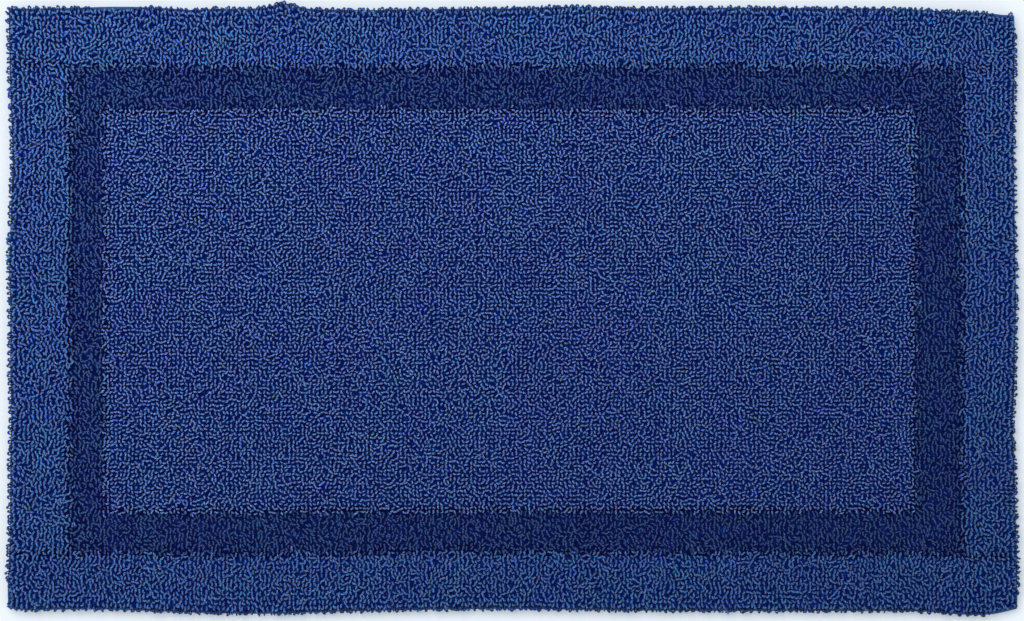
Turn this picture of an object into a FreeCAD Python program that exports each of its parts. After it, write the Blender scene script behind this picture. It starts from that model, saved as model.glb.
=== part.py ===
import FreeCAD, Part
import os

import Sketcher

# A tufted cotton bath mat lying on the floor, pile up. A canvas ground cloth holds the yarn. Its
# four margins are turned under and sewn down as hems, and its back is coated with latex inside
# them. The pile is loops all over, except for a frame-shaped channel where it is cut and lower.
#
# Frame: X runs along the long sides, Y across, +Y to the rear, Z up. The origin is on the floor
# under the middle of the mat. Every layer is mitred at 45 degrees at the mat's corners.

# Driving dimensions in millimetres: name, value, what it measures.
SIZES = (
    ("mat_length", 1000.0, "over the pile, along X"),
    ("mat_width", 600.0, "over the pile, along Y"),
    ("pile_overhang", 4.0, "edge loops beyond the fold of the hem"),
    ("edge_clearance", 0.8, "overhanging loops above the floor"),
    ("cloth_thickness", 1.0, "ground cloth, one layer"),
    ("hem_width", 20.0, "turned-under margin, fold to raw edge"),
    ("stitch_margin", 3.0, "raw edge of the hem to the stitch line"),
    ("thread_width", 0.6, "hem thread, across the stitch line"),
    ("thread_thickness", 0.5, "hem thread, pressed into the cloth"),
    ("thread_clearance", 0.1, "beside the thread in its groove"),
    ("thread_recess", 0.1, "thread above the underside of the hem"),
    ("coat_thickness", 0.4, "latex on the back of the ground cloth"),
    ("label_length", 30.0, "out from the hem"),
    ("label_width", 22.0, "along the hem"),
    ("label_thickness", 0.3, "folded tape, pressed flat"),
    ("label_offset", 300.0, "middle of the label from the mat's middle"),
    ("loop_pile_height", 14.0, "border and centre, above the cloth"),
    ("channel_pile_height", 8.0, "channel, above the cloth"),
    ("border_width", 57.0, "outline of the mat to the channel"),
    ("channel_width", 41.0, "across the channel"),
    ("shoulder_radius", 5.0, "outer top edge of the border pile"),
    ("channel_edge_radius", 3.0, "top edges of the loop pile beside the channel"),
)

# Heights and insets that several pieces share, as expressions on the sheet. The hem lies on the
# floor and the ground cloth lies on the hem, both one cloth thick.
HEM_TOP = "Sizes.cloth_thickness"
CLOTH_TOP = "(2 * Sizes.cloth_thickness)"
LOOP_TOP = f"({CLOTH_TOP} + Sizes.loop_pile_height)"
CHANNEL_TOP = f"({CLOTH_TOP} + Sizes.channel_pile_height)"
HEM_INNER_INSET = "(Sizes.pile_overhang + Sizes.hem_width)"
CENTRE_INSET = "(Sizes.border_width + Sizes.channel_width)"
STITCH_INSET = f"({HEM_INNER_INSET} - Sizes.stitch_margin)"
GROOVE_ROOF = "(Sizes.thread_recess + Sizes.thread_thickness)"
ON_AXIS = "0"

# Each side of the mat: its name, the turn that brings it round from the rear, the size of the
# mat across it and the size along it.
SIDES = (
    ("rear", 0, "Sizes.mat_width", "Sizes.mat_length"),
    ("left", 90, "Sizes.mat_length", "Sizes.mat_width"),
    ("front", 180, "Sizes.mat_width", "Sizes.mat_length"),
    ("right", 270, "Sizes.mat_length", "Sizes.mat_width"),
)

EXACT = 1e-6


def make_sheet(doc):
    sheet = doc.addObject("Spreadsheet::Sheet", "Sizes")
    for row, (name, value, meaning) in enumerate(SIZES, start=1):
        sheet.set(f"A{row}", name)
        sheet.set(f"B{row}", str(value))
        sheet.setAlias(f"B{row}", name)
        sheet.set(f"C{row}", meaning)
    doc.recompute()


def plane_of(body, role):
    return next(plane for plane in body.Origin.OriginFeatures if plane.Role == role)


def outline_sketch(body, name, plane, corners):
    """A closed outline of straight edges on one of the body's own planes.

    Each corner is two expressions, its distances from the origin along the sketch's two axes.
    """
    sketch = body.newObject("Sketcher::SketchObject", name)
    sketch.AttachmentSupport = [(plane_of(body, plane), "")]
    sketch.MapMode = "FlatFace"
    start = [FreeCAD.Vector(*(sketch.evalExpression(size) for size in corner), 0) for corner in corners]
    count = len(corners)
    for i in range(count):
        sketch.addGeometry(Part.LineSegment(start[i], start[(i + 1) % count]), False)
    for i in range(count):
        sketch.addConstraint(Sketcher.Constraint("Coincident", i, 2, (i + 1) % count, 1))
        for kind, axis, size in (("DistanceX", -2, corners[i][0]), ("DistanceY", -1, corners[i][1])):
            if size == ON_AXIS:
                sketch.addConstraint(Sketcher.Constraint("PointOnObject", i, 1, axis))
                continue
            length = sketch.evalExpression(size)
            index = sketch.addConstraint(Sketcher.Constraint(kind, -1, 1, i, 1, length))
            sketch.setExpression(f"Constraints[{index}]", size)
    return sketch


def mitred_strip(doc, label, side, inset, width, section):
    """A strip along one side of the mat, with both ends cut at 45 degrees.

    inset is from the mat's outline to the strip's outer edge. section takes the places of the
    outer and inner edges, and gives the corners of the strip's cross-section.
    """
    _, turn, across, along = side
    outer = f"({across} / 2 - {inset})"
    inner = f"({outer} - {width})"
    end = f"({along} / 2 - {inset})"
    body = doc.addObject("PartDesign::Body", label)
    body.Label = label

    run = body.newObject("PartDesign::Pad", f"{label}_run")
    run.Profile = outline_sketch(body, f"{label}_section", "YZ_Plane", section(outer, inner))
    run.SideType = "Symmetric"
    run.setExpression("Length", f"2 * {end}")

    corner = ((end, outer), (f"({end} - {width})", inner), (end, inner))
    mitre = body.newObject("PartDesign::Pocket", f"{label}_mitre")
    mitre.Profile = outline_sketch(body, f"{label}_corner", "XY_Plane", corner)
    mitre.Type = "ThroughAll"
    mitre.SideType = "Symmetric"

    other_end = body.newObject("PartDesign::Mirrored", f"{label}_other_end")
    other_end.Originals = [mitre]
    other_end.MirrorPlane = (plane_of(body, "YZ_Plane"), [""])
    body.Tip = other_end
    body.Placement = FreeCAD.Placement(FreeCAD.Vector(), FreeCAD.Rotation(FreeCAD.Vector(0, 0, 1), turn))
    doc.recompute()

    taken = run.Shape.Volume - mitre.Shape.Volume
    if taken <= EXACT or abs(mitre.Shape.Volume - taken - other_end.Shape.Volume) > EXACT * run.Shape.Volume:
        raise RuntimeError(f"{label}: the mitres did not cut both ends")
    return body


def round_edges(body, name, radius, edges):
    """Rounds the edges of the body's last feature, given as names such as Edge4."""
    if not edges:
        raise RuntimeError(f"{body.Label}: no edge to round for {name}")
    base = body.Tip
    fillet = body.newObject("PartDesign::Fillet", name)
    fillet.Base = (base, edges)
    fillet.setExpression("Radius", radius)
    body.Tip = fillet
    body.Document.recompute()


def edges_along(body, place, height):
    """Names of the edges that run along X at this place across the strip and this height."""
    y = body.evalExpression(place)
    z = body.evalExpression(height)
    names = []
    for number, edge in enumerate(body.Tip.Shape.Edges, start=1):
        box = edge.BoundBox
        if max(abs(box.YMin - y), abs(box.YMax - y), abs(box.ZMin - z), abs(box.ZMax - z)) < EXACT:
            names.append(f"Edge{number}")
    return names


def make_hem(doc, side):
    """One margin of the ground cloth, turned under, with a groove where the stitches pull in."""
    half_groove = "(Sizes.thread_width / 2 + Sizes.thread_clearance)"

    def section(outer, inner):
        line = f"({inner} + Sizes.stitch_margin)"
        return (
            (outer, ON_AXIS),
            (outer, HEM_TOP),
            (inner, HEM_TOP),
            (inner, ON_AXIS),
            (f"({line} - {half_groove})", ON_AXIS),
            (f"({line} - {half_groove})", GROOVE_ROOF),
            (f"({line} + {half_groove})", GROOVE_ROOF),
            (f"({line} + {half_groove})", ON_AXIS),
        )

    return mitred_strip(doc, f"hem_{side[0]}", side, "Sizes.pile_overhang", "Sizes.hem_width", section)


def make_stitching(doc, side):
    """The thread that runs along a hem's stitch line, against the roof of its groove."""

    def section(outer, inner):
        return (
            (outer, "Sizes.thread_recess"),
            (outer, GROOVE_ROOF),
            (inner, GROOVE_ROOF),
            (inner, "Sizes.thread_recess"),
        )

    inset = f"({STITCH_INSET} - Sizes.thread_width / 2)"
    return mitred_strip(doc, f"hem_stitching_{side[0]}", side, inset, "Sizes.thread_width", section)


def make_border_pile(doc, side):
    """Loop pile between the channel and the outline, hanging over the fold of the hem."""
    _, _, across, _ = side
    fold = f"({across} / 2 - Sizes.pile_overhang)"

    def section(outer, inner):
        return (
            (inner, CLOTH_TOP),
            (fold, CLOTH_TOP),
            (fold, "Sizes.edge_clearance"),
            (outer, "Sizes.edge_clearance"),
            (outer, LOOP_TOP),
            (inner, LOOP_TOP),
        )

    label = f"border_pile_{side[0]}"
    body = mitred_strip(doc, label, side, "0", "Sizes.border_width", section)
    for edge, place, radius in (
        ("shoulder", f"({across} / 2)", "Sizes.shoulder_radius"),
        ("channel_edge", f"({across} / 2 - Sizes.border_width)", "Sizes.channel_edge_radius"),
    ):
        round_edges(body, f"{label}_{edge}", radius, edges_along(body, place, LOOP_TOP))
    return body


def make_channel_pile(doc, side):
    """Cut pile in the floor of the channel."""

    def section(outer, inner):
        return (
            (outer, CLOTH_TOP),
            (outer, CHANNEL_TOP),
            (inner, CHANNEL_TOP),
            (inner, CLOTH_TOP),
        )

    return mitred_strip(
        doc, f"channel_pile_{side[0]}", side, "Sizes.border_width", "Sizes.channel_width", section
    )


def make_centre_pile(doc):
    """Loop pile inside the channel."""
    body = doc.addObject("PartDesign::Body", "centre_pile")
    body.Label = "centre_pile"
    field = body.newObject("PartDesign::AdditiveBox", "centre_pile_field")
    field.setExpression("Length", f"Sizes.mat_length - 2 * {CENTRE_INSET}")
    field.setExpression("Width", f"Sizes.mat_width - 2 * {CENTRE_INSET}")
    field.setExpression("Height", "Sizes.loop_pile_height")
    body.setExpression("Placement.Base.x", f"{CENTRE_INSET} - Sizes.mat_length / 2")
    body.setExpression("Placement.Base.y", f"{CENTRE_INSET} - Sizes.mat_width / 2")
    body.setExpression("Placement.Base.z", CLOTH_TOP)
    doc.recompute()
    top = body.evalExpression("Sizes.loop_pile_height")
    rim = [
        f"Edge{number}"
        for number, edge in enumerate(field.Shape.Edges, start=1)
        if abs(edge.BoundBox.ZMin - top) < EXACT
    ]
    round_edges(body, "centre_pile_channel_edge", "Sizes.channel_edge_radius", rim)
    return body


def make_layer(doc, label, inset, bottom, thickness):
    """A flat sheet whose edges lie at one inset from the mat's outline."""
    layer = doc.addObject("Part::Box", label)
    layer.Label = label
    layer.setExpression("Length", f"Sizes.mat_length - 2 * {inset}")
    layer.setExpression("Width", f"Sizes.mat_width - 2 * {inset}")
    layer.setExpression("Height", thickness)
    layer.setExpression("Placement.Base.x", f"{inset} - Sizes.mat_length / 2")
    layer.setExpression("Placement.Base.y", f"{inset} - Sizes.mat_width / 2")
    layer.setExpression("Placement.Base.z", bottom)
    return layer


def make_care_label(doc):
    """A blank tape against the back coat, its root at the raw edge of the rear hem."""
    label = doc.addObject("Part::Box", "care_label")
    label.Label = "care_label"
    label.setExpression("Length", "Sizes.label_width")
    label.setExpression("Width", "Sizes.label_length")
    label.setExpression("Height", "Sizes.label_thickness")
    root = f"(Sizes.mat_width / 2 - {HEM_INNER_INSET})"
    label.setExpression("Placement.Base.x", "Sizes.label_offset - Sizes.label_width / 2")
    label.setExpression("Placement.Base.y", f"{root} - Sizes.label_length")
    label.setExpression("Placement.Base.z", f"{HEM_TOP} - Sizes.coat_thickness - Sizes.label_thickness")
    return label


def check_document(doc, pieces):
    for obj in doc.Objects:
        if "Invalid" in obj.State or "Error" in obj.State:
            raise RuntimeError(f"{obj.Label} failed: {obj.State}")
    for piece in pieces:
        shape = piece.Shape
        if shape.isNull() or not shape.isValid() or len(shape.Solids) != 1:
            raise RuntimeError(f"{piece.Label} is not one valid solid")


def main():
    doc = FreeCAD.newDocument("bath_mat")
    make_sheet(doc)
    pieces = [
        make_layer(doc, "ground_cloth", "Sizes.pile_overhang", HEM_TOP, "Sizes.cloth_thickness"),
        make_layer(
            doc, "back_coat", HEM_INNER_INSET, f"{HEM_TOP} - Sizes.coat_thickness", "Sizes.coat_thickness"
        ),
        make_care_label(doc),
        make_centre_pile(doc),
    ]
    for side in SIDES:
        pieces.append(make_hem(doc, side))
        pieces.append(make_stitching(doc, side))
        pieces.append(make_border_pile(doc, side))
        pieces.append(make_channel_pile(doc, side))
    doc.recompute()
    check_document(doc, pieces)
    os.makedirs("parts", exist_ok=True)
    for piece in pieces:
        piece.Shape.exportStep(f"parts/{piece.Label}.step")
        box = piece.Shape.BoundBox
        size = " x ".join(f"{length:.1f}" for length in (box.XLength, box.YLength, box.ZLength))
        print(f"{piece.Label}: {size} mm, {piece.Shape.Volume / 1000:.1f} cm3, from z {box.ZMin:.2f}")


main()
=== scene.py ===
# %% [markdown]
# # A tufted cotton bath mat
# The mat is a canvas ground cloth with thick cotton yarn punched through it in rows. The yarn
# stands up as uncut loops over most of the mat. In a channel that runs round it like a frame the
# loops are sheared off, so the pile there is lower, softer and darker. The cloth's margins are
# turned under and sewn down, and its back is coated with latex.
#
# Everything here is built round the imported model, which gives the size and place of each piece.
# It could all be done with one flat slab and a picture of loops, but a slab has no edge, no
# gaps and no shadow between the loops. So every loop and every cut tuft is a real shape.

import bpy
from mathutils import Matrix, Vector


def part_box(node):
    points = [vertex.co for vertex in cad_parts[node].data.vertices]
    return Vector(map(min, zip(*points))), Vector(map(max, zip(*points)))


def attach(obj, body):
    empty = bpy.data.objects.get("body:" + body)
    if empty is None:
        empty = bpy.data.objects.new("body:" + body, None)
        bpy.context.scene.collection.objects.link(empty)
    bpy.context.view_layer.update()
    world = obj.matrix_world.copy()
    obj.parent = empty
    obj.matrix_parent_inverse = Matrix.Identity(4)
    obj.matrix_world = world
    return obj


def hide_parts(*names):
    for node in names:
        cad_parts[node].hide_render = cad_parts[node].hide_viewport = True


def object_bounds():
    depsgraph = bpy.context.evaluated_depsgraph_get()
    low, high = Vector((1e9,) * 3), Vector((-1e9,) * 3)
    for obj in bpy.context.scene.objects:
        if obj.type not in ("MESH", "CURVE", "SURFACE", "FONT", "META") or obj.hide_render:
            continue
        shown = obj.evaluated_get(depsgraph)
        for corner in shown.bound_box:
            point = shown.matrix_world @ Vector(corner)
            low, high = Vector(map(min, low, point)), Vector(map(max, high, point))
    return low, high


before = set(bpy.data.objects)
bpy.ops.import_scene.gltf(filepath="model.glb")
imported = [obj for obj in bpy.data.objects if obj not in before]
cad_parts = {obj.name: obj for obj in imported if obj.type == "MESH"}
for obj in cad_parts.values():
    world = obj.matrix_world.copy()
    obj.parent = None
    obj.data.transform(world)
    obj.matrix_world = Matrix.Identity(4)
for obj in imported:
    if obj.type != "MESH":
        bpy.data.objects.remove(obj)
cad_low, cad_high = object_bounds()
print("CAD box in mm:", [round(1000 * x, 1) for x in (*cad_low, *cad_high)])

# %% Units and helpers
import math

import bpy
import numpy as np

MM = 0.001
rng = np.random.default_rng(41)


def deselect():
    """Leaves nothing selected, because an operator acts on all that is selected."""
    for other in bpy.context.selected_objects:
        other.select_set(False)


def settle(piece):
    """Puts a new piece's place, turn and scale into its mesh, so its object sits at the origin."""
    deselect()
    piece.select_set(True)
    bpy.context.view_layer.objects.active = piece
    bpy.ops.object.transform_apply(location=True, rotation=True, scale=True)


def apply_modifiers(piece):
    deselect()
    piece.select_set(True)
    bpy.context.view_layer.objects.active = piece
    for modifier in list(piece.modifiers):
        bpy.ops.object.modifier_apply(modifier=modifier.name)


def points_of(piece):
    """The piece's vertices as an array of rows x, y, z in metres."""
    flat = np.empty(3 * len(piece.data.vertices))
    piece.data.vertices.foreach_get("co", flat)
    return flat.reshape(-1, 3)


def move_points(piece, points):
    piece.data.vertices.foreach_set("co", points.ravel())
    piece.data.update()


def report(piece):
    size = [round(1000 * x, 1) for x in piece.dimensions]
    piece.data.calc_loop_triangles()
    print(f"{piece.name}: {size} mm, {len(piece.data.loop_triangles)} triangles")


# %% [markdown]
# ## Where things are
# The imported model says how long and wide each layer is. From it come the outline of the mat, the
# two edges of the channel and the fold of the hem, each as a distance in from the outline.

# %% Read the layout from the frame
half_length = cad_high.x
half_width = cad_high.y
pile_top = cad_high.z
cloth_low, cloth_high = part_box("ground_cloth")
centre_low, centre_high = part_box("centre_pile")
channel_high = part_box("channel_pile_rear")[1]
hem_low, hem_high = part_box("hem_rear")
cloth_top = cloth_high.z
fold_inset = half_width - cloth_high.y
hem_inner_inset = half_width - hem_low.y
channel_outer_inset = half_width - channel_high.y
channel_inner_inset = half_width - centre_high.y
insets = (fold_inset, hem_inner_inset, channel_outer_inset, channel_inner_inset)
print("insets of fold, hem and channel in mm:", [round(1000 * x, 1) for x in insets])
SIDES = ("rear", "left", "front", "right")


def inset_of(x, y):
    """Distance in from the nearest straight side of the mat."""
    return np.minimum(half_length - np.abs(x), half_width - np.abs(y))


def side_of(x, y):
    """Which side each place belongs to, split along the mitres, as its number in SIDES."""
    across = half_width - np.abs(y) < half_length - np.abs(x)
    return np.where(across, np.where(y > 0, 0, 2), np.where(x < 0, 1, 3))


# %% [markdown]
# ## The outline
# No hemmed cloth is a true rectangle. Each side of this one wanders by a few millimetres, and the
# corners pull in or push out where the hems are folded over one another. Each side gets a smooth
# curve made of a few broad bumps, and everything near it moves with it. Bumps are chosen rather
# than noise, because each one can be put where it belongs.

# %% Give each side its wander
def bump(at, place, reach):
    """1 at the place, falling smoothly to 0 over the reach."""
    return np.exp(-(((at - place) / reach) ** 2))


def wander_rear(x):
    near_left = 1.5 * bump(x, -0.39, 0.05) - 1.6 * bump(x, -0.32, 0.02) + 5.6 * bump(x, -0.227, 0.015)
    middle = -1.5 * bump(x, -0.14, 0.07) + 2.0 * bump(x, 0.06, 0.03) + 0.9 * bump(x, 0.22, 0.06)
    near_right = -3.5 * bump(x, 0.45, 0.045) - 6.0 * bump(x, 0.5, 0.026)
    return MM * (near_left + middle + near_right)


def wander_front(x):
    near_left = -1.8 * bump(x, -0.42, 0.06) - 2.5 * bump(x, -0.5, 0.012) + 2.8 * bump(x, -0.26, 0.08)
    near_right = 3.9 * bump(x, 0.46, 0.04) - 4.2 * bump(x, 0.505, 0.018)
    return MM * (near_left - 2.0 * bump(x, -0.01, 0.11) + near_right)


def wander_left(y):
    upper = 1.3 * bump(y, 0.29, 0.06) - 2.2 * bump(y, 0.15, 0.05) + 1.3 * bump(y, 0.045, 0.025)
    lower = 2.3 * bump(y, -0.28, 0.045) - 1.0 * bump(y, -0.105, 0.025)
    return MM * (upper + lower)


def wander_right(y):
    upper = 1.3 * bump(y, 0.01, 0.04) - 1.3 * bump(y, 0.17, 0.05) - 1.0 * bump(y, 0.3, 0.015)
    lower = 2.6 * bump(y, -0.27, 0.06) - 2.2 * bump(y, -0.115, 0.028)
    return MM * (upper + lower)


WANDER_REACH = 60 * MM


def wandered(points):
    """Moves points with the nearest sides. The middle of the mat stays where it is."""
    x, y = points[..., 0], points[..., 1]
    moved = points.copy()
    for wander, along, gap, axis, sign in (
        (wander_rear, x, half_width - y, 1, 1),
        (wander_front, x, half_width + y, 1, -1),
        (wander_left, y, half_length + x, 0, -1),
        (wander_right, y, half_length - x, 0, 1),
    ):
        moved[..., axis] += sign * wander(along) * np.exp(-np.clip(gap, 0, None) / WANDER_REACH)
    return moved


widest = max(abs(wander_rear(np.linspace(-half_length, half_length, 201))))
print(f"the rear side wanders by up to {1000 * widest:.1f} mm")


# %% [markdown]
# ## The loop
# One loop is a bit of plied yarn that comes up through the cloth, bends over and goes back down
# through nearly the same hole, so it is narrow at its foot and round at its head. Two strands
# twisted together make the yarn, which is why its section is wider than it is thick.
#
# A tube along a curve would look like a worm. Here a flat four-sided strand is drawn up
# straight, a Simple Deform modifier twists it as the plying machine does, and a Curve modifier
# bends it along the loop. With four sides it stays cheap enough to be copied thousands of times.
# The legs are hidden in the crowd, so they are drawn in one step, except those of the outermost
# loops, whose twist shows from the side.

# %% Draw the line that a loop follows
STRAND = 1.0 * MM  # across one of the two strands in the yarn
YARN_FLATNESS = 0.72  # the yarn's thickness against its width
LOOP_WIDTH = 2.5 * MM  # across the head, between the middles of the two legs
FOOT_WIDTH = 1.2 * MM
ROOT_DEPTH = 0.4 * MM  # how far the legs go into the cloth
WAIST = 0.62  # the share of the neck's height at which a leg starts to straighten
WAIST_WIDTH = 0.42  # how far each leg is off the middle there, as a share of the head's width
PLY_TURN = 5.0 * MM  # length of yarn in which the strands turn once round each other
HEAD_STEPS = 4
RIM_LEG_STEPS = 4  # for the outermost loops, whose legs are seen from the side
loop_rise = pile_top - cloth_top - STRAND
print(f"the loops rise {1000 * loop_rise:.1f} mm, to the middle of their yarn")


def loop_path(rise, width, foot, lean):
    """The middle of the yarn in one loop, as a curve that a modifier can follow, and its length."""
    neck = rise - width / 2
    head = [
        (-math.cos(turn) * width / 2, 0, neck + math.sin(turn) * width / 2)
        for turn in (math.pi * step / 8 for step in range(9))
    ]
    points = [(-foot / 2, 0, -ROOT_DEPTH), (-width * WAIST_WIDTH, 0, neck * WAIST)]
    points += head
    points += [(width * WAIST_WIDTH, 0, neck * WAIST), (foot / 2, 0, -ROOT_DEPTH)]
    curve = bpy.data.curves.new("loop_path", "CURVE")
    curve.dimensions = "3D"
    curve.twist_mode = "MINIMUM"
    spline = curve.splines.new("POLY")
    spline.points.add(len(points) - 1)
    for point, place in zip(spline.points, points):
        leaning = lean * max(place[2] / rise, 0) ** 2
        point.co = (place[0], leaning, place[2], 1)
    path = bpy.data.objects.new("loop_path", curve)
    bpy.context.collection.objects.link(path)
    return path, spline.calc_length()


# %% Lay out the yarn on a map
def lay_yarn_map(yarn, phase):
    """A UV map with the distance along the yarn in metres as U, and the turn round it as V."""
    mesh = yarn.data
    layer = mesh.uv_layers.new(name="yarn")
    for face in mesh.polygons:
        places = [mesh.vertices[mesh.loops[corner].vertex_index].co for corner in face.loop_indices]
        around = [(math.atan2(place.y, place.x) - phase) / (2 * math.pi) % 1 for place in places]
        if max(around) - min(around) > 0.5:
            around = [turn + 1 if turn < 0.5 else turn for turn in around]
        for corner, place, turn in zip(face.loop_indices, places, around):
            layer.data[corner].uv = (place.z, turn)


# %% Draw the yarn, twist it and bend it along that line
def model_loop(name, width, lean, phase, leg_steps):
    """One loop standing on the cloth at the origin, with its yarn laid out on a UV map."""
    path, length = loop_path(loop_rise, width, FOOT_WIDTH, lean)
    head = math.pi * width / 2
    leg = (length - head) / 2
    stations = [leg * step / leg_steps for step in range(leg_steps)]
    stations += [leg + head * step / HEAD_STEPS for step in range(HEAD_STEPS)]
    stations += [length - leg * step / leg_steps for step in range(leg_steps, -1, -1)]
    deselect()
    bpy.ops.mesh.primitive_circle_add(vertices=4, radius=1, fill_type="NGON")
    yarn = bpy.context.object
    yarn.name = name
    yarn.scale = (STRAND, STRAND * YARN_FLATNESS, 1)
    yarn.rotation_euler.z = phase
    settle(yarn)
    bpy.ops.object.mode_set(mode="EDIT")
    bpy.ops.mesh.select_all(action="SELECT")
    for low, high in zip(stations, stations[1:]):
        bpy.ops.mesh.extrude_region_move(TRANSFORM_OT_translate={"value": (0, 0, high - low)})
    bpy.ops.mesh.select_all(action="SELECT")
    bpy.ops.mesh.normals_make_consistent(inside=False)
    bpy.ops.object.mode_set(mode="OBJECT")
    lay_yarn_map(yarn, phase)
    twist = yarn.modifiers.new("ply", "SIMPLE_DEFORM")
    twist.deform_method = "TWIST"
    twist.deform_axis = "Z"
    twist.angle = 2 * math.pi * length / PLY_TURN
    apply_modifiers(yarn)
    bend = yarn.modifiers.new("bend", "CURVE")
    bend.object = path
    bend.deform_axis = "POS_Z"
    apply_modifiers(yarn)
    bpy.data.objects.remove(path)
    report(yarn)
    return yarn


loops = [
    model_loop("loop_upright", LOOP_WIDTH, 0.0, 0.0, 1),
    model_loop("loop_leaning", LOOP_WIDTH * 1.1, 0.6 * MM, 0.8, 1),
    model_loop("loop_narrow", LOOP_WIDTH * 0.85, 0.4 * MM, 1.6, 1),
    model_loop("loop_wide", LOOP_WIDTH * 1.2, -0.5 * MM, 2.4, 1),
]
rim_loops = [
    model_loop("rim_loop", LOOP_WIDTH, 0.0, 0.4, RIM_LEG_STEPS),
    model_loop("rim_loop_narrow", LOOP_WIDTH * 0.9, 0.3 * MM, 1.9, RIM_LEG_STEPS),
]


# %% [markdown]
# ## The cut tuft
# In the channel the loops are sheared, so each one becomes two ends of yarn whose fibres spring
# open like a brush. A tuft is modelled as that brush: narrow at its foot, and at its cut head
# softly domed and longer than wide, because the two ends stand side by side. The heads touch, so
# few sides are enough.

# %% Model one cut tuft
TUFT_FOOT = 0.8 * MM
TUFT_HEAD = 2.7 * MM  # half the length of the cut head
TUFT_SLIM = 0.5  # its width against its length
TUFT_SHOULDER = 0.84  # the share of its height at which it is widest
TUFT_RIM = 0.97  # and at which its dome starts
TUFT_DOME = 0.6  # how wide it still is there
tuft_rise = channel_high.z - cloth_top


def model_tuft(name, lean, phase):
    """One brush of cut yarn standing on the cloth at the origin."""
    deselect()
    bpy.ops.mesh.primitive_circle_add(
        vertices=5,
        radius=TUFT_FOOT,
        fill_type="NGON",
        location=(0, 0, -ROOT_DEPTH),
        rotation=(0, 0, phase),
    )
    tuft = bpy.context.object
    tuft.name = name
    tuft.scale.y = TUFT_SLIM
    settle(tuft)
    bpy.ops.object.mode_set(mode="EDIT")
    bpy.ops.mesh.select_all(action="SELECT")
    to_shoulder = (0.8 * lean, 0, TUFT_SHOULDER * tuft_rise + ROOT_DEPTH)
    bpy.ops.mesh.extrude_region_move(TRANSFORM_OT_translate={"value": to_shoulder})
    wider = TUFT_HEAD / TUFT_FOOT
    bpy.ops.transform.resize(value=(wider, wider, 1), center_override=(0.8 * lean, 0, 0))
    to_rim = (0.2 * lean, 0, (TUFT_RIM - TUFT_SHOULDER) * tuft_rise)
    bpy.ops.mesh.extrude_region_move(TRANSFORM_OT_translate={"value": to_rim})
    bpy.ops.transform.resize(value=(TUFT_DOME, TUFT_DOME, 1), center_override=(lean, 0, 0))
    bpy.ops.mesh.poke(offset=(1 - TUFT_RIM) * tuft_rise)
    bpy.ops.mesh.select_all(action="SELECT")
    bpy.ops.mesh.normals_make_consistent(inside=False)
    bpy.ops.object.mode_set(mode="OBJECT")
    lay_tuft_map(tuft, lean)
    report(tuft)
    return tuft


# %% Lay out the tuft on a map
def lay_tuft_map(tuft, lean):
    """A UV map with the distance up the side and over the head as U, and the turn round it as V."""
    mesh = tuft.data
    layer = mesh.uv_layers.new(name="yarn")
    for face in mesh.polygons:
        middle = math.atan2(face.center.y, face.center.x - lean * face.center.z / tuft_rise)
        for corner in face.loop_indices:
            place = mesh.vertices[mesh.loops[corner].vertex_index].co
            x = place.x - lean * max(place.z, 0) / tuft_rise
            radius = math.hypot(x, place.y / TUFT_SLIM)
            off = (math.atan2(place.y, x) - middle + math.pi) % (2 * math.pi) - math.pi
            off = off if radius > 0.1 * TUFT_FOOT else 0.0
            over = TUFT_HEAD - radius if place.z > 0.5 * tuft_rise else 0.0
            layer.data[corner].uv = (place.z + over, (middle + off) / (2 * math.pi))


tufts = [model_tuft("tuft_upright", 0.0, 0.0), model_tuft("tuft_leaning", 1.2 * MM, 0.6)]


# %% [markdown]
# ## Standing copies on the cloth
# A tufting machine punches rows of needles through the cloth again and again, so the roots stand
# on a grid. Plied yarn is springy, and each loop kinks its own way once it is free. So each copy
# of the loop gets a turn, a lean, a height and a width of its own.
#
# Thousands of objects would be slow to handle, so the copies of one zone are joined in one mesh.
# Every copy carries a tone, a number that is the same all over it, for the dye to vary with. Every
# point carries a lift, which is its height in the pile, by which the materials paint shade lower
# down. Where a copy's side is open to daylight, its lift is raised, so less shade is painted on it.

# %% Make a piece from arrays
def new_piece(name, points, corners, counts, maps, values):
    """A piece from points, the corners of its faces, how many each has, and maps and values."""
    mesh = bpy.data.meshes.new(name)
    mesh.vertices.add(len(points))
    mesh.vertices.foreach_set("co", wandered(points).ravel())
    mesh.loops.add(len(corners))
    mesh.loops.foreach_set("vertex_index", corners)
    mesh.polygons.add(len(counts))
    mesh.polygons.foreach_set("loop_start", np.cumsum(counts) - counts)
    mesh.polygons.foreach_set("use_smooth", np.ones(len(counts), bool))
    for key, uv in maps.items():
        mesh.uv_layers.new(name=key, do_init=False).uv.foreach_set("vector", uv.ravel())
    for key, value in values.items():
        mesh.attributes.new(key, "FLOAT", "POINT").data.foreach_set("value", value)
    mesh.update(calc_edges=True)
    piece = bpy.data.objects.new(name, mesh)
    bpy.context.collection.objects.link(piece)
    report(piece)
    return piece


# %% Read a modelled shape
def read_shape(shape):
    """The points, corners, face sizes and yarn map of a modelled shape, as arrays."""
    mesh = shape.data
    corners = np.empty(len(mesh.loops), int)
    mesh.loops.foreach_get("vertex_index", corners)
    counts = np.empty(len(mesh.polygons), int)
    mesh.polygons.foreach_get("loop_total", counts)
    uv = np.empty(2 * len(corners))
    mesh.uv_layers["yarn"].uv.foreach_get("vector", uv)
    return points_of(shape), corners, counts, uv.reshape(-1, 2)


# %% Stand copies of a shape
SIDE_LIGHT = 0.75  # how far light evens out the colours of a copy whose side is open to it
BEND = 1.6  # the power of the height by which a copy leans: more than 1 bends it near its head
YARN_APART = 37 * MM  # between two copies on the yarn map, so that no two have the same fibres
TILE_MARGIN = 0.07  # of a copy's tile, so that neighbours' colours don't run together


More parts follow.
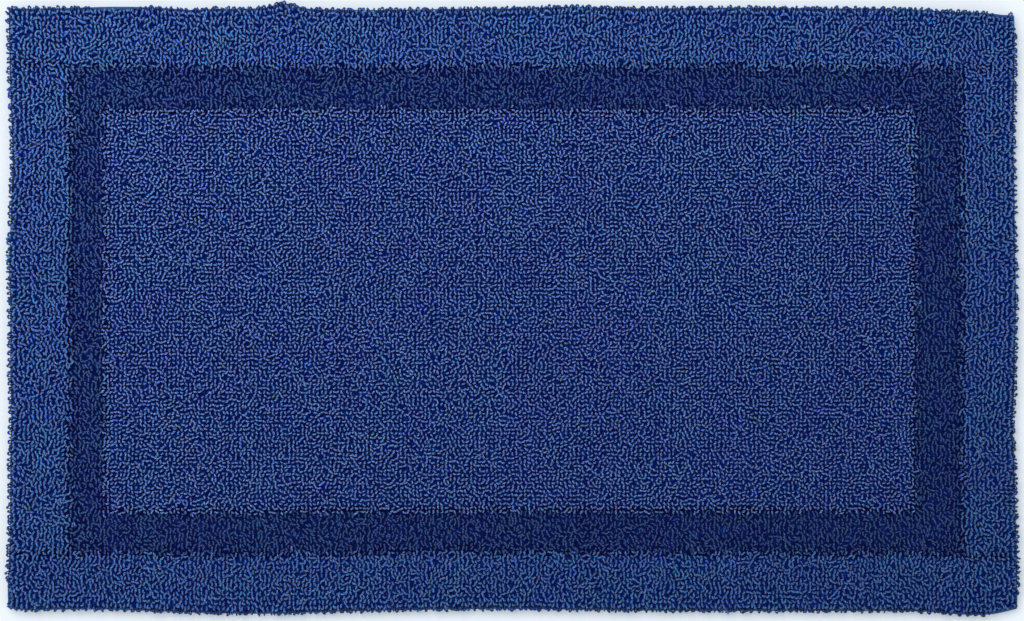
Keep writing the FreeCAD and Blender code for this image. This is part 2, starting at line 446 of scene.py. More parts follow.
def stand_copies(name, shapes, roots, turn, wide, tall, lean, swirl, level, daylight):
    """One piece made of copies of the shapes, one at each root, standing on the level.

    turn and swirl are in radians: the whole copy's turn, and the further turn of its head.
    lean is how far each head moves in x and y. daylight is 0 for a copy in the crowd, and 1 for
    one whose side is open to the light.
    """
    which = rng.integers(len(shapes), size=len(roots))
    tone = rng.random(len(roots))
    tiles = math.ceil(math.sqrt(len(roots)))
    parts = {key: [] for key in ("points", "corners", "counts", "yarn", "OFBake", "tone", "lift")}
    made = 0
    for kind, shape in enumerate(shapes):
        mine = np.flatnonzero(which == kind)
        model, corners, counts, uv = read_shape(shape)
        lift = np.clip(model[:, 2] / model[:, 2].max(), 0, 1)
        angle = turn[mine, None] + swirl[mine, None] * lift
        x = model[:, 0] * wide[mine, None]
        y = model[:, 1] * np.sqrt(wide[mine, None])
        copy = np.empty((len(mine), len(model), 3))
        copy[..., 0] = x * np.cos(angle) - y * np.sin(angle) + lean[mine, 0, None] * lift**BEND
        copy[..., 1] = x * np.sin(angle) + y * np.cos(angle) + lean[mine, 1, None] * lift**BEND
        copy[..., :2] += roots[mine, None]
        copy[..., 2] = model[:, 2] * tall[mine, None] + level
        first = made + len(model) * np.arange(len(mine))
        made += len(mine) * len(model)
        share = (uv - uv.min(0)) / np.ptp(uv, axis=0) * (1 - 2 * TILE_MARGIN) + TILE_MARGIN
        tile = np.stack((mine % tiles, mine // tiles), 1)
        along = np.tile(uv, (len(mine), 1, 1))
        along[..., 0] += mine[:, None] * YARN_APART
        parts["points"].append(copy.reshape(-1, 3))
        parts["corners"].append((corners + first[:, None]).ravel())
        parts["counts"].append(np.tile(counts, len(mine)))
        parts["yarn"].append(along.reshape(-1, 2))
        parts["OFBake"].append(((share + tile[:, None]) / tiles).reshape(-1, 2))
        parts["tone"].append(np.repeat(tone[mine], len(model)))
        # Painted shade: the lift is raised where a copy's side is open to daylight.
        shown = lift + (1 - lift) * SIDE_LIGHT * daylight[mine, None]
        parts["lift"].append(shown.ravel())
    done = {key: np.concatenate(value) for key, value in parts.items()}
    maps = {key: done[key] for key in ("yarn", "OFBake")}
    values = {key: done[key] for key in ("tone", "lift")}
    return new_piece(name, done["points"], done["corners"], done["counts"], maps, values)


# %% Root the pile on a grid and let its heads jostle
PITCH = 4.1 * MM
EDGE_ROW = fold_inset + 1.0 * MM  # inset of the outermost roots
SWAY = 1.2 * MM  # how far heads lean before they touch
ROOM = 1.05 * PITCH  # that each head pushes for
JOSTLES = 12
PUSH = 0.2  # how much of the way the heads go at each jostle
FOLLOWING = 0.15  # how much a head turns to face as each neighbour does
NEIGHBOURS = [(i, j) for i in (-1, 0, 1) for j in (-1, 0, 1) if i or j]


def pile_grid():
    """Roots on a grid from edge to edge, how far each head leans, and which way it faces.

    Heads lean at random and then push their neighbours away until all have the same room. They
    face at random too, but a head turns a little towards the way that its neighbours face. The
    way is given as a complex number with twice the angle, in which opposite ways are the same.
    """
    reaches = (half_length - EDGE_ROW, half_width - EDGE_ROW)
    x, y = (np.linspace(-reach, reach, 2 * round(reach / PITCH) + 1) for reach in reaches)
    roots = np.stack(np.meshgrid(x, y), -1)
    heads = roots + rng.normal(0, SWAY, roots.shape)
    for _ in range(JOSTLES):
        push = np.zeros_like(heads)
        for step in NEIGHBOURS:
            away = heads - np.roll(heads, step, (0, 1))
            gap = np.linalg.norm(away, axis=-1, keepdims=True)
            push += away / (gap + 0.1 * MM) * np.clip(ROOM - gap, 0, PITCH)
        heads[1:-1, 1:-1] += PUSH * push[1:-1, 1:-1]
    way = np.exp(2j * math.pi * rng.random(x.size * y.size)).reshape(y.size, x.size)
    way = way + FOLLOWING * sum(np.roll(way, step, (0, 1)) for step in NEIGHBOURS)
    way /= np.abs(way).mean()
    return roots.reshape(-1, 2), (heads - roots).reshape(-1, 2), way.ravel()


roots, lean_of_heads, way_of_heads = pile_grid()
inset_of_roots = inset_of(roots[:, 0], roots[:, 1])
side_of_roots = side_of(roots[:, 0], roots[:, 1])
heads_sway = 1000 * np.linalg.norm(lean_of_heads, axis=1).mean()
print(f"{len(roots)} roots, whose heads lean {heads_sway:.1f} mm on average")


def turns(mine, along_y, spread):
    """The turn of some heads, off by the spread. The larger along_y, the more face along y."""
    count = np.count_nonzero(mine)
    return np.angle(way_of_heads[mine] - along_y) / 2 + rng.normal(0, spread, count)


# %% [markdown]
# ## Where the shears went
# The channel is sheared by hand along the four sides, so it doesn't run quite true: each of its
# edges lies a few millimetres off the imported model's. Along them the shears take one loop and
# leave the next, more raggedly outside, where they come down, than inside. A straight line there
# would look like a drawn one, so each root decides by its own small stray.

# %% Share the roots out between border, channel and centre
SHEAR_FROM_OFF = np.array((2.5, 4.0, 1.5, -3.0)) * MM  # further in, at the channel's outer edge
SHEAR_TO_OFF = np.array((2.5, -3.5, 0.5, 2.0)) * MM  # and at its inner edge, for each side
STRAY = 2.0 * MM
STRAY_INSIDE = 0.5  # of the stray, at the inner edge

stray = rng.normal(0, STRAY, len(roots))
shear_from = channel_outer_inset + SHEAR_FROM_OFF[side_of_roots]
shear_to = channel_inner_inset + SHEAR_TO_OFF[side_of_roots]
in_border = inset_of_roots + stray < shear_from
in_centre = inset_of_roots + STRAY_INSIDE * stray > shear_to
in_channel = ~in_border & ~in_centre
for zone, inside in (("border", in_border), ("channel", in_channel), ("centre", in_centre)):
    print(f"{inside.sum()} roots in the {zone}")


# %% [markdown]
# ## The loop pile
# The loops of the middle field face every way and crowd each other. Those of the border are a
# little wider, and most of them face from front to rear. The outermost ones have nothing outside
# to lean on, so they bend over the hem and make the knobbly edge of the mat, and the rows behind
# lean out after them. Beside the channel the loops stand lower, where the shears brushed them. In
# a few places the tufting stops short of the fold, and the plain canvas of the hem shows.

# %% Say where the hem shows
BARE_SPOTS = (  # x, y and reach in metres
    (-0.395, 0.3, 0.027),
    (0.492, 0.3, 0.018),
    (-0.5, -0.283, 0.014),
    (0.487, -0.3, 0.018),
)


def bareness(x, y):
    """1 where the fold of the hem shows past the loops, 0 elsewhere."""
    near = [((x - at_x) ** 2 + (y - at_y) ** 2) / reach**2 for at_x, at_y, reach in BARE_SPOTS]
    return sum(np.exp(-(squares**2)) for squares in near)


print(f"the hem shows in {len(BARE_SPOTS)} places")

# %% Say how the loops stand along the edges
ROW_REACH = 0.6 * PITCH  # within which a root counts as one of the outermost row
RIM_WIDE = 1.2  # the width of the outermost loops against the modelled one
RIM_TURN = 0.5  # the spread of their turns, in radians
RIM_SAG = 0.12  # of the height, by which they are lower
KNOB = 0.6 * MM  # how far the knobs of the edge stand out and in
KNOB_PITCH = 9.4 * MM
BARE = 3.6 * MM  # how far the loops keep back where the hem shows
OVERHANG = 1.2 * MM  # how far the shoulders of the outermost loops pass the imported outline
FOLLOW = 5.0 * MM  # how far the rows behind lean out after the outermost one
FOLLOW_REACH = 14 * MM
SHOULDER = 0.26  # of the height, by which the pile is lower beside the channel
SHOULDER_OUTSIDE = 5 * MM  # how far from the channel's outer edge that fades
SHOULDER_INSIDE = 6 * MM  # and from its inner edge
CHANNEL_LIGHT = 0.6  # the daylight on the loops beside the channel


# %% Stand the loops
def stand_loops(name, shapes, mine, along_y, wider, comb):
    """Loops of some shapes at some of the roots.

    along_y says how many of them face along y, wider how wide they are against the modelled
    one, and comb is the spread of their further lean in x and y.
    """
    place, inset, side = roots[mine], inset_of_roots[mine], side_of_roots[mine]
    count = len(place)
    turn = turns(mine, along_y, 0.25)
    wide = rng.normal(wider, 0.1, count)
    tall = rng.normal(1.0, 0.03, count)
    lean = lean_of_heads[mine] + rng.normal(0, comb, (count, 2))
    at_edge = bump(inset, EDGE_ROW, ROW_REACH)
    along_edge = np.where(side % 2 == 1, math.pi / 2, 0) + rng.normal(0, RIM_TURN, count)
    turn = np.where(at_edge > 0.5, along_edge, turn)
    wide = np.where(at_edge > 0.5, RIM_WIDE, wide)
    bare = BARE * bareness(*place.T)
    for axis, half, facing in ((0, half_length, np.cos(turn)), (1, half_width, np.sin(turn))):
        out = np.sign(place[:, axis])
        gap = half - np.abs(place[:, axis])
        outermost = bump(gap, EDGE_ROW, ROW_REACH)
        reach = np.abs(facing) * wide * LOOP_WIDTH / 2 + STRAND
        knob = KNOB * np.cos(2 * math.pi * place[:, 1 - axis] / KNOB_PITCH)
        to_outline = gap - reach + (OVERHANG + knob - bare) - out * lean[:, axis]
        follow = FOLLOW * np.exp(-np.abs(gap - EDGE_ROW) / FOLLOW_REACH)
        lean[:, axis] += out * (outermost * to_outline + (1 - outermost) * follow)
    tall *= 1 - RIM_SAG * at_edge
    tall *= 1 - SHOULDER * np.exp(-np.abs(inset - shear_from[mine]) / SHOULDER_OUTSIDE)
    inner_shoulder = np.where(side % 2 == 1, SHOULDER, 0.3 * SHOULDER)
    tall *= 1 - inner_shoulder * np.exp(-np.abs(inset - shear_to[mine]) / SHOULDER_INSIDE)
    beside_channel = bump(inset, shear_from[mine], PITCH) + bump(inset, shear_to[mine], PITCH)
    daylight = np.maximum(at_edge, CHANNEL_LIGHT * beside_channel)
    swirl = rng.normal(0, 0.5, count)
    return stand_copies(name, shapes, place, turn, wide, tall, lean, swirl, cloth_top, daylight)


pile = {}
outermost_roots = inset_of_roots < EDGE_ROW + 0.5 * PITCH
rim_comb = (1.0 * MM, 1.0 * MM)
border_comb = (0.2 * MM, 0.4 * MM)
for number, side in enumerate(SIDES):
    rim = outermost_roots & (side_of_roots == number)
    name = f"border_rim_{side}"
    pile[name] = stand_loops(name, rim_loops, rim, 0.0, RIM_WIDE, rim_comb)
    behind = in_border & ~outermost_roots & (side_of_roots == number)
    name = f"border_loops_{side}"
    pile[name] = stand_loops(name, loops, behind, 1.0, 1.18, border_comb)

# %% Stand the loops of the middle field
CENTRE_BANDS = 7  # pieces that the field is made in, so that each stays light enough to handle
band = np.floor((roots[:, 0] - centre_low.x) / (centre_high.x - centre_low.x) * CENTRE_BANDS)
band = np.clip(band, 0, CENTRE_BANDS - 1)
for number in range(CENTRE_BANDS):
    name = f"centre_loops_{number + 1}"
    pile[name] = stand_loops(name, loops, in_centre & (band == number), 0.15, 1.0, (0.0, 0.0))

# %% [markdown]
# ## The channel
# It was tufted with the rest, on the same grid, and then sheared. The shears tilt up at its outer
# side, so its tufts are a little taller there and meet the border softly. The same happens at
# the inner side of the two short runs. The tufts' heads are longer than wide, and nearly all lie
# from front to rear, as they were combed.

# %% Stand the cut tufts
OUTER_TILT = 0.36  # of the height, by which the tufts are taller at the channel's outer edge
INNER_TILTS = (0.1, 0.3)  # and at its inner edge, on the long runs and on the short ones
OUTER_TILT_REACH = 7 * MM
INNER_TILT_REACH = 6 * MM
RUFFLE = 0.6 * MM  # the spread of the tufts' further lean

for number, side in enumerate(SIDES):
    name = f"channel_tufts_{side}"
    mine = in_channel & (side_of_roots == number)
    count = mine.sum()
    turn = turns(mine, 1.1, 0.3)
    wide = rng.normal(1.0, 0.15, count)
    tall = rng.normal(1.0, 0.06, count)
    from_outer = np.abs(inset_of_roots[mine] - shear_from[mine])
    from_inner = np.abs(inset_of_roots[mine] - shear_to[mine])
    tall += OUTER_TILT * np.exp(-from_outer / OUTER_TILT_REACH)
    tall += INNER_TILTS[number % 2] * np.exp(-from_inner / INNER_TILT_REACH)
    swirl = rng.normal(0, 0.3, count)
    lean = lean_of_heads[mine] + rng.normal(0, RUFFLE, (count, 2))
    dark = np.zeros(count)
    pile[name] = stand_copies(
        name, tufts, roots[mine], turn, wide, tall, lean, swirl, cloth_top, dark
    )
for shape in loops + rim_loops + tufts:
    bpy.data.objects.remove(shape)

# %% [markdown]
# ## Down between the heads
# The legs of the loops press together into one mass, so nobody ever sees the canvas through
# them. Legs thick enough to close every gap would cost far more points than they show. So the
# mass is a lumpy slab under the heads, about half as high as the pile, in the middle field and
# along each side of the border and of the channel.

# %% Make one slab of packed legs
FILL_STEP = 6 * MM
FILL_LUMP = 1.0 * MM  # how far its lumps rise and fall


def lay_flat_map(piece):
    """A UV map in metres, seen from above, for what is flat."""
    mesh = piece.data
    layer = mesh.uv_layers.active or mesh.uv_layers.new(name="flat")
    layer.name = "flat"
    corners = np.empty(len(mesh.loops), int)
    mesh.loops.foreach_get("vertex_index", corners)
    layer.uv.foreach_set("vector", points_of(piece)[corners, :2].ravel())


def packed_legs(name, share, drop, low_x, high_x, low_y, high_y):
    """A lumpy slab that fills a share of the pile's height over a rectangle, its rim dropped."""
    deselect()
    bpy.ops.mesh.primitive_grid_add(
        x_subdivisions=round((high_x - low_x) / FILL_STEP),
        y_subdivisions=round((high_y - low_y) / FILL_STEP),
        size=1,
        location=((low_x + high_x) / 2, (low_y + high_y) / 2, cloth_top + ROOT_DEPTH),
    )
    legs = bpy.context.object
    legs.name = name
    legs.scale = (high_x - low_x, high_y - low_y, 1)
    settle(legs)
    lay_flat_map(legs)
    solidify = legs.modifiers.new("height", "SOLIDIFY")
    solidify.thickness = share * (pile_top - cloth_top)
    solidify.offset = 1
    apply_modifiers(legs)
    points = points_of(legs)
    top = points[:, 2] > cloth_top + 2 * ROOT_DEPTH
    gaps = (points[:, 0] - low_x, high_x - points[:, 0], points[:, 1] - low_y, high_y - points[:, 1])
    at_rim = np.minimum.reduce(gaps) < 1 * MM
    at_rim &= inset_of(points[:, 0], points[:, 1]) > EDGE_ROW
    points[:, 2] += top * (rng.uniform(-1.0, 1.0, len(points)) * FILL_LUMP - drop * at_rim)
    move_points(legs, wandered(points))
    report(legs)
    return legs


# %% Fill the pile up to under the heads
GAP = 2 * MM  # between a slab of loop legs and the channel's first tufts
RIM_DROP = 3 * MM  # of the rims beside the channel
BORDER_FILL = 0.64  # the share of the pile's height that is filled
CHANNEL_FILL = 0.42
CENTRE_FILL = 0.6
fill = {}


def box_at(insets):
    """The rectangle with these insets from the rear, left, front and right sides."""
    rear, left, front, right = insets
    return -half_length + left, half_length - right, -half_width + front, half_width - rear


def fill_frame(zone, share, drop, outer, inner):
    """Fills a frame between two sets of insets, with a slab for each side."""
    out_left, out_right, out_front, out_rear = box_at(outer)
    in_left, in_right, in_front, in_rear = box_at(inner)
    boxes = (
        (out_left, out_right, in_rear, out_rear),
        (out_left, in_left, in_front, in_rear),
        (out_left, out_right, out_front, in_front),
        (in_right, out_right, in_front, in_rear),
    )
    for side, box in zip(SIDES, boxes):
        fill[zone, side] = packed_legs(f"packed_legs_{zone}_{side}", share, drop, *box)


outer_rim = np.full(4, EDGE_ROW - 0.5 * MM)
outer_edge = channel_outer_inset + SHEAR_FROM_OFF - GAP
inner_edge = channel_inner_inset + SHEAR_TO_OFF + GAP
fill_frame("border", BORDER_FILL, RIM_DROP, outer_rim, outer_edge)
fill_frame("channel", CHANNEL_FILL, 0, outer_edge, inner_edge)
centre_fill = packed_legs("packed_legs_centre", CENTRE_FILL, RIM_DROP, *box_at(inner_edge))


# %% [markdown]
# ## The ground cloth and its hems
# The canvas is one cloth, cut 20 mm larger all round than it ends up, with that margin turned
# under and sewn. The flat field is a grid given thickness by a Solidify modifier. Each hem is a
# strip whose outer edge is spun half a turn upwards, which makes the round fold, and whose ends
# narrow to a mitre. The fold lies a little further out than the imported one, because the real one
# shows at the outline, and where no loop hides it, it is a little fuller still.

# %% Lay the ground cloth
SLACK = 3.3 * MM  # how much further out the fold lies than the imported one, all round
FULLNESS = 0.2 * MM  # and how much more where it shows past the loops
SLACK_REACH = 6 * MM


def fuller(points):
    """Pushes the cloth's rim out to under the edge of the loops, and further where it shows."""
    moved = points.copy()
    out = SLACK + FULLNESS * np.clip(bareness(points[:, 0], points[:, 1]), 0, 1)
    for axis, half in ((0, half_length), (1, half_width)):
        gap = half - np.abs(points[:, axis])
        near_rim = np.exp(-np.clip(gap - fold_inset, 0, None) / SLACK_REACH)
        moved[:, axis] += np.sign(points[:, axis]) * out * near_rim
    return moved


def flat_cloth(name, low, high, step):
    """A flat layer that fills a box, as a grid with thickness."""
    deselect()
    bpy.ops.mesh.primitive_grid_add(
        x_subdivisions=round((high.x - low.x) / step),
        y_subdivisions=round((high.y - low.y) / step),
        size=1,
        location=(low + high) / 2,
    )
    piece = bpy.context.object
    piece.name = name
    piece.scale = (high.x - low.x, high.y - low.y, 1)
    settle(piece)
    lay_flat_map(piece)
    solidify = piece.modifiers.new("thickness", "SOLIDIFY")
    solidify.thickness = high.z - low.z
    solidify.offset = 0
    apply_modifiers(piece)
    return piece


ground = flat_cloth("canvas_ground", cloth_low, cloth_high, 8 * MM)
move_points(ground, wandered(fuller(points_of(ground))))
report(ground)


# %% Turn the hems
FOLD_STEPS = 5
HEM_STEP = 8 * MM
STITCH_MARGIN = 3 * MM  # from the hem's raw edge
STITCH_INSET = hem_inner_inset - STITCH_MARGIN
DIMPLE = 0.45 * MM  # how deep the stitches draw the hem in
DIMPLE_REACH = 0.9 * MM


def model_hem(name, half_run, half_reach, turn):
    """One turned hem, modelled along the rear side and then turned to its own."""
    thickness = hem_high.z - hem_low.z
    width = hem_inner_inset - fold_inset
    deselect()
    bpy.ops.mesh.primitive_grid_add(
        x_subdivisions=round(2 * half_run / HEM_STEP),
        y_subdivisions=24,
        size=1,
        location=(0, half_reach - fold_inset - width / 2, thickness / 2),
    )
    hem = bpy.context.object
    hem.name = name
    hem.scale = (2 * half_run, width, 1)
    settle(hem)
    lay_flat_map(hem)
    edge = half_reach - fold_inset
    bpy.ops.object.mode_set(mode="EDIT")
    bpy.ops.mesh.select_all(action="DESELECT")
    bpy.ops.object.mode_set(mode="OBJECT")
    for line in hem.data.edges:
        ends = [hem.data.vertices[index].co.y for index in line.vertices]
        line.select = all(abs(end - edge) < 0.01 * MM for end in ends)
    bpy.ops.object.mode_set(mode="EDIT")
    bpy.ops.mesh.select_mode(type="EDGE")
    bpy.ops.mesh.spin(
        steps=FOLD_STEPS, angle=math.pi, center=(0, edge, thickness), axis=(1, 0, 0)
    )
    bpy.ops.mesh.select_mode(type="VERT")
    bpy.ops.mesh.select_all(action="SELECT")
    bpy.ops.mesh.remove_doubles(threshold=0.01 * MM)
    bpy.ops.mesh.normals_make_consistent(inside=False)
    bpy.ops.object.mode_set(mode="OBJECT")
    points = points_of(hem)
    points[:, 0] *= 1 - (half_reach - np.minimum(points[:, 1], edge)) / half_run
    move_points(hem, points)
    solidify = hem.modifiers.new("thickness", "SOLIDIFY")
    solidify.thickness = thickness
    solidify.offset = 0
    apply_modifiers(hem)
    points = points_of(hem)
    below = points[:, 2] < thickness / 2
    seam = bump(points[:, 1], half_reach - STITCH_INSET, DIMPLE_REACH)
    points[:, 2] += below * DIMPLE * seam
    turned = points.copy()
    turned[:, 0] = points[:, 0] * math.cos(turn) - points[:, 1] * math.sin(turn)
    turned[:, 1] = points[:, 0] * math.sin(turn) + points[:, 1] * math.cos(turn)
    move_points(hem, wandered(fuller(turned)))
    report(hem)
    return hem


hems = {}
for number, side in enumerate(SIDES):
    long_side = number % 2 == 0
    run, reach = (half_length, half_width) if long_side else (half_width, half_length)
    hems[side] = model_hem(f"canvas_hem_{side}", run, reach, number * math.pi / 2)


# %% [markdown]
# ## The stitching
# A lockstitch shows on the underside as a row of short threads, each dipping into the cloth at
# both ends. One stitch is modelled, thick in its middle and thin at its ends, and copied along
# the four sides.

# %% Sew the hems
STITCH_PITCH = 4.0 * MM
STITCH_LENGTH = 3.5 * MM
STITCH_END = 0.4  # its thickness at its ends against its middle
CORNER_GAP = 1.5 * MM  # from the end of a row to the crossing one
thread_low, thread_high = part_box("hem_stitching_rear")
thread_middle = (thread_low.z + thread_high.z) / 2
thread_radius = (thread_high.z - thread_low.z) / 2


def model_stitch():
    """One stitch lying along x at the origin, drawn up and then laid down."""
    deselect()
    bpy.ops.mesh.primitive_circle_add(
        vertices=6,
        radius=STITCH_END * thread_radius,
        fill_type="NGON",
        location=(0, 0, -STITCH_LENGTH / 2),
    )
    stitch = bpy.context.object
    stitch.name = "stitch"
    settle(stitch)
    bpy.ops.object.mode_set(mode="EDIT")
    bpy.ops.mesh.select_all(action="SELECT")
    for step, wider in ((0.16, 1 / STITCH_END), (0.68, 1.0), (0.16, STITCH_END)):
        onward = (0, 0, step * STITCH_LENGTH)
        bpy.ops.mesh.extrude_region_move(TRANSFORM_OT_translate={"value": onward})
        bpy.ops.transform.resize(value=(wider, wider, 1))
    bpy.ops.mesh.select_all(action="SELECT")
    bpy.ops.mesh.normals_make_consistent(inside=False)
    bpy.ops.object.mode_set(mode="OBJECT")
    lay_yarn_map(stitch, 0.0)
    stitch.rotation_euler.y = math.pi / 2
    settle(stitch)
    report(stitch)
    return stitch


# %% Copy the stitch along the hems
stitch = model_stitch()
stitching = {}
for number, side in enumerate(SIDES):
    long_side = number % 2 == 0
    run, reach = (half_length, half_width) if long_side else (half_width, half_length)
    half_row = run - STITCH_INSET - CORNER_GAP
    along = np.arange(-half_row + STITCH_LENGTH / 2, half_row, STITCH_PITCH)
    along = along[along < half_row - STITCH_LENGTH / 2]
    line = np.stack((along, np.full(len(along), reach - STITCH_INSET)), 1)
    turn = number * math.pi / 2
    spin = np.array(((math.cos(turn), math.sin(turn)), (-math.sin(turn), math.cos(turn))))
    same = np.ones(len(line))
    none = np.zeros(len(line))
    name = f"stitches_{side}"
    stitching[side] = stand_copies(
        name, [stitch], line @ spin, turn * same, same, same, 0 * line, none, thread_middle, same
    )
bpy.data.objects.remove(stitch)

# %% [markdown]
# ## The back coat and the label
# Latex is sprayed on the back inside the hems. It locks the tufts and grips the floor. It is a
# thin flat layer whose ribs, one for each row of tufts, are left to the material. The label is a
# short satin tape caught by the hem's stitching. Its free end curls a little.

# %% Spray the back
coat = flat_cloth("latex_back", *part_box("back_coat"), 12 * MM)
move_points(coat, wandered(points_of(coat)))
report(coat)

# %% Sew in the label
CURL = 0.18 * MM
label_low, label_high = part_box("care_label")
label = flat_cloth("label_tape", label_low, label_high, 2 * MM)
points = points_of(label)
free = np.clip((label_high.y - points[:, 1]) / (label_high.y - label_low.y), 0, 1)
across = (points[:, 0] - label_low.x) / (label_high.x - label_low.x)
points[:, 2] -= CURL * free**2 * np.sin(math.pi * across)
move_points(label, wandered(points))
report(label)

# %% [markdown]
# ## Materials
# Colours are written as they look on a screen and turned to the linear numbers that light needs.
# A material is a tree of nodes. Nodes can be placed one by one by hand, but one function that adds
# a node and links what it is given keeps a tree as short as a formula. Settings that come up
# often, such as multiply or smooth step, have names here.

# %% Helpers for colours and nodes
ADD = {"operation": "ADD"}
TIMES = {"operation": "MULTIPLY"}
SINE = {"operation": "SINE"}
COSINE = {"operation": "COSINE"}
DOT = {"operation": "DOT_PRODUCT"}
SMOOTH = {"interpolation_type": "SMOOTHSTEP"}
COLOUR = {"data_type": "RGBA"}


def linear(code):
    """An sRGB hex colour as linear red, green, blue and alpha."""
    parts = [int(code[i : i + 2], 16) / 255 for i in (1, 3, 5)]
    return (*(x / 12.92 if x <= 0.04045 else ((x + 0.055) / 1.055) ** 2.4 for x in parts), 1)


def new_material(name):
    material = bpy.data.materials.new(name)
    material.use_nodes = True
    tree = material.node_tree
    return material, tree, tree.nodes["Principled BSDF"]


def add(tree, kind, settings, *inputs, out=None, **named):
    """Adds a node with its settings and gives its output of that name, or its first one.

    Its inputs are given in order or by name, each a value or the socket that feeds it.
    """
    node = tree.nodes.new("ShaderNode" + kind)
    for name, value in settings.items():
        setattr(node, name, value)
    given = list(zip((socket for socket in node.inputs if socket.enabled), inputs))
    given += [(node.inputs[name.replace("_", " ")], value) for name, value in named.items()]
    for socket, value in given:
        if isinstance(value, bpy.types.NodeSocket):
            tree.links.new(value, socket)
        else:
            socket.default_value = value
    return node.outputs[out] if out else next(x for x in node.outputs if x.enabled)


print("navy in linear light:", [round(x, 3) for x in linear("#001c64")])

# %% [markdown]
# ### Plied cotton yarn, vat dyed
# Cotton fibres are dull and stand off the yarn as a fine fuzz, so there is no gloss, only a soft
# pale bloom where light grazes them. The tops of the strands get a pale painted highlight, and two
# dark lines of painted shade wind round the yarn where its strands meet. Light hardly reaches down
# between the loops, so the colour is painted darker the lower it lies in the pile, almost black at
# the bottom. Each loop takes the dye a little differently, and so does each broad patch of the mat.
# The pile is painted lighter towards the rear left, where the light comes from.
#
# The fuzz is drawn as coarse streaks, a millimetre and more long, because single fibres are too
# fine to show.

# %% Cotton yarn
# The lines are painted shade in the grooves between the strands.
GROOVES = 2  # lines round the yarn, where its two strands meet
FUZZ = (700, 9, 1)  # streaks of fibres per metre along the yarn, and round it
PATCHES = 26.0  # per metre, where the dye took a little differently
PAINTED_LIGHT_SLOPE = (-0.25, 0.55, 0.0)  # painted light: how much lighter per metre of x, y and z, towards the rear left where the light is


def cotton_yarn(name, crest_highlight, body, depth_shade, lift_from, bloom):
    """crest, body and depth are the colours from the top of the pile down: crest is a painted
    highlight, and depth is painted shade.

    Below lift_from, a share of the pile's height, all is depth, painted shade. bloom is the sheen of
    the fuzz.
    """
    material, tree, shader = new_material(name)
    place = add(tree, "TexCoord", {}, out="Object")
    yarn = add(tree, "UVMap", {"uv_map": "yarn"})
    tone = add(tree, "Attribute", {"attribute_name": "tone"}, out="Fac")
    lift = add(tree, "Attribute", {"attribute_name": "lift"}, out="Fac")
    round_yarn = add(tree, "SeparateXYZ", {}, yarn, out="Y")
    angle = add(tree, "Math", TIMES, round_yarn, GROOVES * 2 * math.pi)
    wave = add(tree, "Math", COSINE, angle)
    # Painted shade: the strand mask darkens two lines in the grooves where the strands meet.
    strand = add(tree, "MapRange", SMOOTH, wave, -0.8, 0.9)
    fibres = add(tree, "Mapping", {}, yarn, Scale=FUZZ)
    fuzz = add(tree, "TexNoise", {}, Vector=fibres, Scale=1.0, Detail=2.0, Roughness=0.6)

    # Painted shade and highlight: low in the pile the colour is painted darker, and the pale
    # highlight only on the strands' tops high up.
    height = add(tree, "MapRange", SMOOTH, lift, lift_from, 1.0)
    below = add(tree, "Mix", COLOUR, height, depth_shade, body)
    lit = add(tree, "Math", TIMES, strand, height)
    shown = add(tree, "Mix", COLOUR, lit, below, crest_highlight)

    patch = add(tree, "TexNoise", {}, Vector=place, Scale=PATCHES, Detail=2.0)
    hue = add(tree, "MapRange", SMOOTH, patch, 0.3, 0.7, 0.492, 0.508)
    # Painted light: the pile is made lighter towards the rear left, where the light comes from.
    painted_light_slope = add(tree, "Math", ADD, add(tree, "VectorMath", DOT, place, PAINTED_LIGHT_SLOPE), 1.0)
    own = add(tree, "MapRange", SMOOTH, tone, 0.0, 1.0, 0.88, 1.12)
    streaks = add(tree, "MapRange", SMOOTH, fuzz, 0.25, 0.75, 0.6, 1.4)
    value = add(tree, "Math", TIMES, add(tree, "Math", TIMES, own, painted_light_slope), streaks)
    dye_and_painted_light = add(tree, "HueSaturation", {}, Hue=hue, Value=value, Color=shown)
    tree.links.new(dye_and_painted_light, shader.inputs["Base Color"])

    rough = add(tree, "MapRange", SMOOTH, fuzz, 0.2, 0.8, 0.82, 1.0)
    tree.links.new(rough, shader.inputs["Roughness"])
    relief = add(tree, "Math", ADD, strand, fuzz)
    bumps = add(tree, "Bump", {}, Height=relief, Strength=0.6, Distance=0.4 * MM)
    tree.links.new(bumps, shader.inputs["Normal"])
    shader.inputs["Specular IOR Level"].default_value = 0.08
    shader.inputs["Sheen Weight"].default_value = bloom
    shader.inputs["Sheen Roughness"].default_value = 0.5
    shader.inputs["Sheen Tint"].default_value = linear("#9db4e0")
    return material


# %% Dye the four kinds of pile
# Plied loops: dull blue with greyed crests, a painted highlight, as lit fuzz looks paler than dye.
loop_cotton = cotton_yarn(
    "plied_cotton_loops", linear("#9a9fb8"), linear("#026ccc"), linear("#002490"), 0.74, 0.05
)
# Sheared pile: cut ends drink in the light and the lower pile lies in shade, so it is painted darker,
# with hardly any bloom.
cut_cotton = cotton_yarn(
    "sheared_cotton_pile", linear("#485b88"), linear("#022c6e"), linear("#000a46"), 0.66, 0.02
)
# The border's loops lie a little more open, so light reaches further down them.
border_cotton = cotton_yarn(
    "plied_cotton_border", linear("#8088a6"), linear("#066cc2"), linear("#023898"), 0.66, 0.05
)
# The outermost loops bend over and turn their shaded sides up, so they look darker.
rim_cotton = cotton_yarn(
    "plied_cotton_rim", linear("#46649a"), linear("#0c3a84"), linear("#001c64"), 0.6, 0.05
)
finishes = {
    "centre_loops": loop_cotton,
    "border_loops": border_cotton,
    "border_rim": rim_cotton,
    "channel_tufts": cut_cotton,
}
for name, piece in pile.items():
    piece.data.materials.append(finishes[name.rsplit("_", 1)[0]])
print("finishes of the pile:", sorted(finish.name for finish in finishes.values()))

